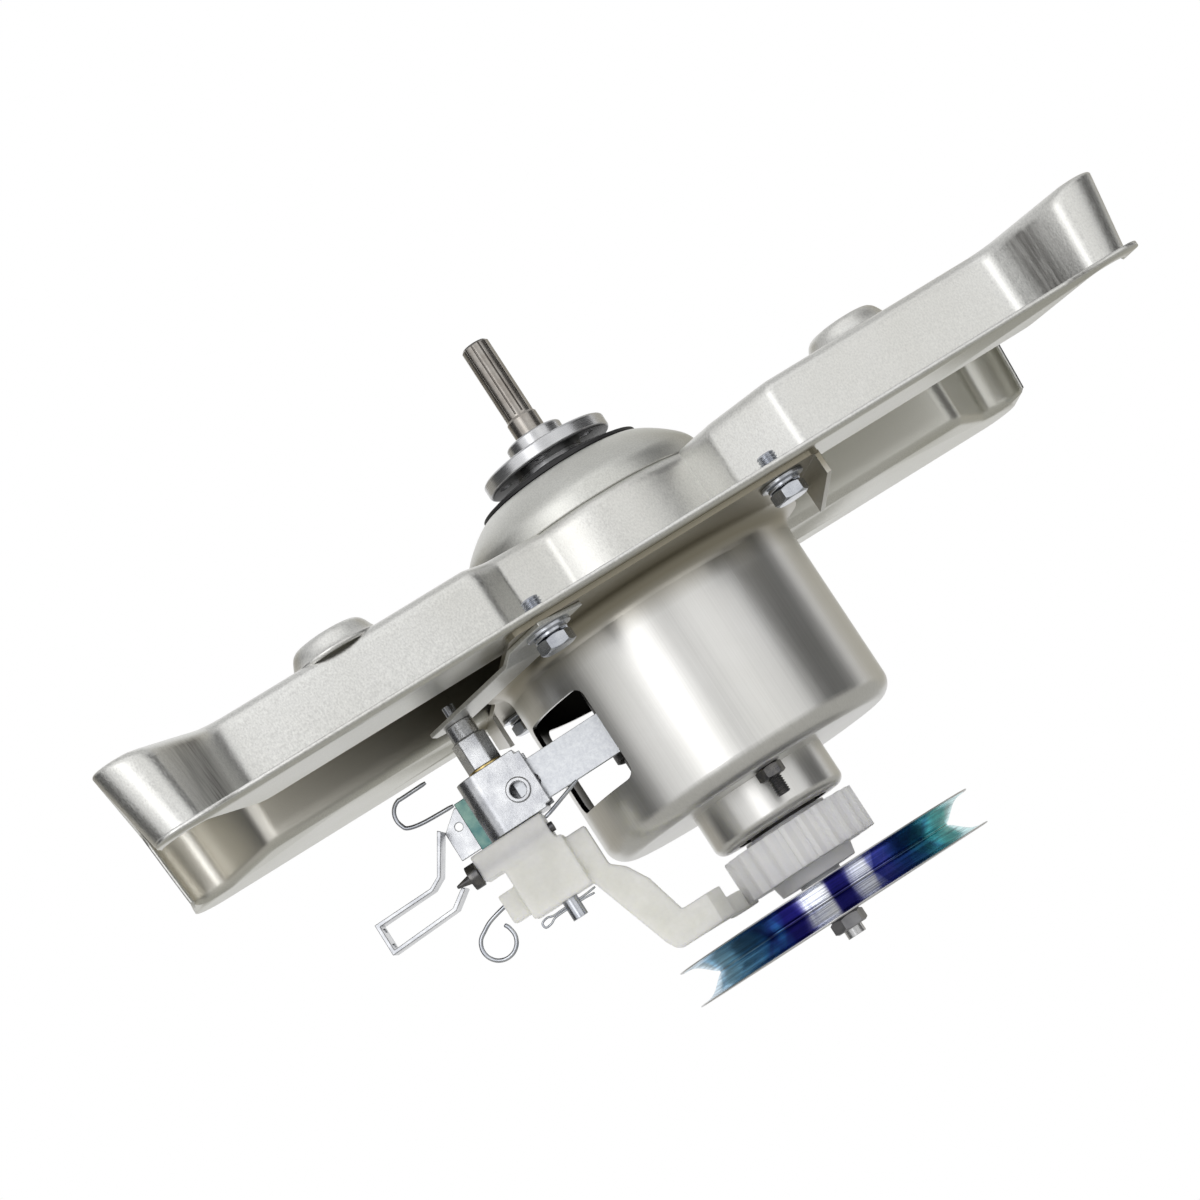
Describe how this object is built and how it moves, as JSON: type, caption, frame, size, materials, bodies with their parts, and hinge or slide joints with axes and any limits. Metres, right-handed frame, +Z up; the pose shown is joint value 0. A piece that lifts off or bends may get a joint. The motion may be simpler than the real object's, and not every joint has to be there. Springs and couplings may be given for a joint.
{
  "type": "washing machine clutch",
  "caption": "Speed-reducer clutch of a top-loading washing machine: splined shaft, pressed mounting bracket, drum housing, brake lever and pawl, ratchet wheel and belt pulley.",
  "frame": {"origin": "on the shaft axis, in the plane of the bracket's four tub pads", "axes": "+Z up the wash shaft, +X along the bracket's long side, the lever group at -X"},
  "size_m": [0.44, 0.245, 0.282],
  "materials": {
    "zinc_sheet": "satin zinc",
    "zinc_blue": "blue zinc",
    "steel": "machined",
    "shaft_steel": "ground",
    "gear_steel": "hardened",
    "dark_steel": "black oxide",
    "rubber": "moulded",
    "lining": "friction lining",
    "bronze": "sintered",
    "brass": "yellow zinc",
    "white_nylon": "moulded",
    "ivory_nylon": "moulded",
    "blue_steel": "blue passivated zinc",
    "teal": "green passivated zinc"
  },
  "bodies": {
    "mounting": {"bracket": "zinc_sheet", "housing_can": "zinc_sheet", "housing_bolts": "zinc_blue", "bolt_washers": "zinc_blue", "bearing_races_fixed": "steel", "bearing_balls": "steel", "oil_seal": "rubber", "brake_band": "steel", "brake_lining": "lining", "band_anchor": "zinc_blue", "anchor_stud": "dark_steel", "anchor_nut": "dark_steel", "band_arm": "zinc_blue", "lever_strap": "zinc_sheet", "lever_pin": "steel", "standoff_nut": "zinc_blue", "pin_washer": "brass", "cotter_pin": "steel"},
    "spin": {"spin_tube": "steel", "tub_flange": "steel", "bearing_races_spinning": "steel", "brake_drum": "steel", "ring_gear": "gear_steel", "drum_cover": "steel", "drum_screws": "dark_steel", "tube_bushes": "bronze", "sleeve_bushes": "bronze", "shaft_seal": "rubber"},
    "input": {"input_shaft": "steel", "sun_gear": "gear_steel", "clutch_hub": "steel", "pulley_hub": "steel", "pulley_upper": "blue_steel", "pulley_lower": "blue_steel", "pulley_washers": "steel", "pulley_nut": "steel"},
    "wash": {"wash_shaft": "shaft_steel", "planet_carrier": "steel", "planet_pins": "steel"},
    "planet_1": {"planet_gear_1": "gear_steel"},
    "planet_2": {"planet_gear_2": "gear_steel"},
    "planet_3": {"planet_gear_3": "gear_steel"},
    "ratchet": {"ratchet_wheel": "white_nylon", "wrap_spring": "steel"},
    "lever": {"brake_lever": "zinc_blue", "spring_plate": "teal", "pull_lever": "zinc_blue", "lever_spring": "steel"},
    "pawl": {"pawl": "ivory_nylon", "adjust_screw": "dark_steel", "pawl_spring": "steel", "return_spring": "steel"}
  },
  "joints": [
    {"name": "spin_turn", "type": "hinge", "parent": "mounting", "child": "spin", "pos_m": [0, 0, 0], "axis": [0, 0, 1], "continuous": true},
    {"name": "input_turn", "type": "hinge", "parent": "spin", "child": "input", "pos_m": [0, 0, -0.1], "axis": [0, 0, 1], "continuous": true},
    {"name": "wash_turn", "type": "hinge", "parent": "spin", "child": "wash", "pos_m": [0, 0, 0], "axis": [0, 0, 1], "continuous": true},
    {"name": "planet_1_turn", "type": "hinge", "parent": "wash", "child": "planet_1", "pos_m": [0.01875, 0, -0.08], "axis": [0, 0, 1], "continuous": true},
    {"name": "planet_2_turn", "type": "hinge", "parent": "wash", "child": "planet_2", "pos_m": [-0.00937, 0.01624, -0.08], "axis": [0, 0, 1], "continuous": true},
    {"name": "planet_3_turn", "type": "hinge", "parent": "wash", "child": "planet_3", "pos_m": [-0.00937, -0.01624, -0.08], "axis": [0, 0, 1], "continuous": true},
    {"name": "ratchet_turn", "type": "hinge", "parent": "mounting", "child": "ratchet", "pos_m": [0, 0, -0.16], "axis": [0, 0, 1], "continuous": true},
    {"name": "lever_swing", "type": "hinge", "parent": "mounting", "child": "lever", "pos_m": [-0.0905, -0.02187, -0.09], "axis": [0, 0, 1], "range_deg": [0, 8]},
    {"name": "pawl_swing", "type": "hinge", "parent": "mounting", "child": "pawl", "pos_m": [-0.0905, -0.02187, -0.12], "axis": [0, 0, 1], "range_deg": [0, 8]}
  ],
  "couplings": [
    {"joint": "wash_turn", "follows": "input_turn", "ratio": 0.2},
    {"joint": "planet_1_turn", "follows": "input_turn", "ratio": -0.53333},
    {"joint": "planet_2_turn", "follows": "input_turn", "ratio": -0.53333},
    {"joint": "planet_3_turn", "follows": "input_turn", "ratio": -0.53333},
    {"joint": "pawl_swing", "follows": "lever_swing", "ratio": 1}
  ]
}
